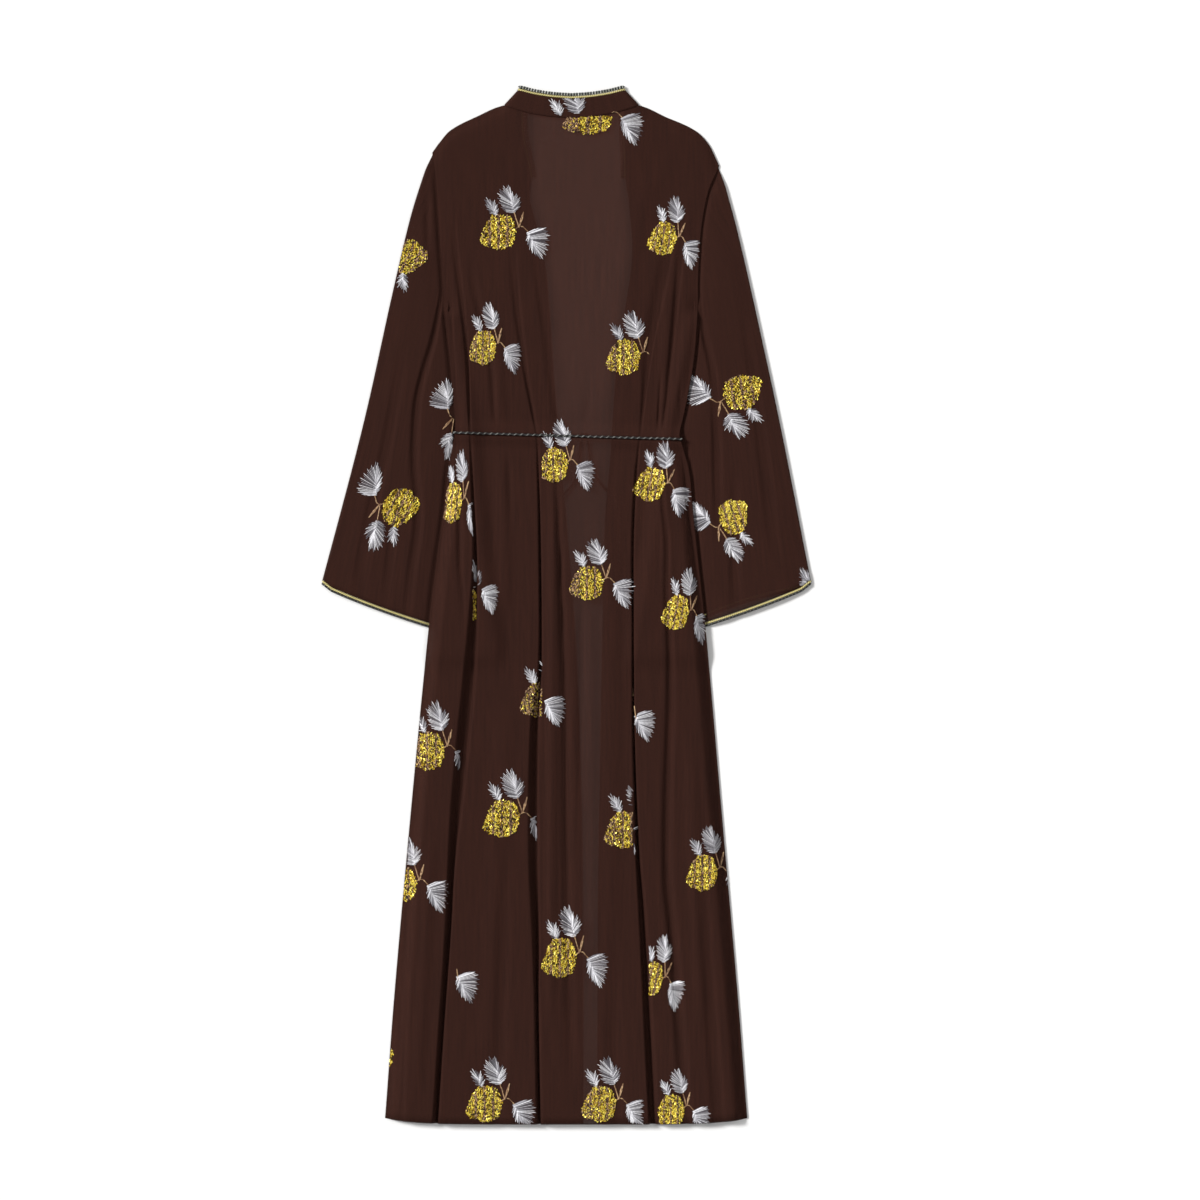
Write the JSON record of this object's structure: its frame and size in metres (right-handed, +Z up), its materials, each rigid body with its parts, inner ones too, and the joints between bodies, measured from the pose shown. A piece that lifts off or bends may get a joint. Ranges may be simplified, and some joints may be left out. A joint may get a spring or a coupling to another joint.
{
  "type": "abaya laid flat, back uppermost",
  "caption": "Long open-front gown laid flat, back up, with bell sleeves, a stand collar, metallic edge trims and a thin cord belt round the waist.",
  "frame": {"origin": "middle of the garment's outline, on the surface that it lies on", "axes": "+Z up from the surface; +Y from the hem to the collar; +X to the right seen from above"},
  "size_m": [0.6852, 1.452, 0.0179],
  "materials": {
    "crepe": "matte",
    "trim": "metallic thread",
    "cord": "satin"
  },
  "bodies": {
    "root": {"back": "crepe", "front_left": "crepe", "front_right": "crepe", "sleeve_left": "crepe", "sleeve_right": "crepe", "collar": "crepe", "collar_trim": "trim", "sleeve_trim_left": "trim", "sleeve_trim_right": "trim", "belt": "cord", "belt_knot": "cord", "belt_tail_left": "cord", "belt_tail_right": "cord"}
  },
  "joints": []
}
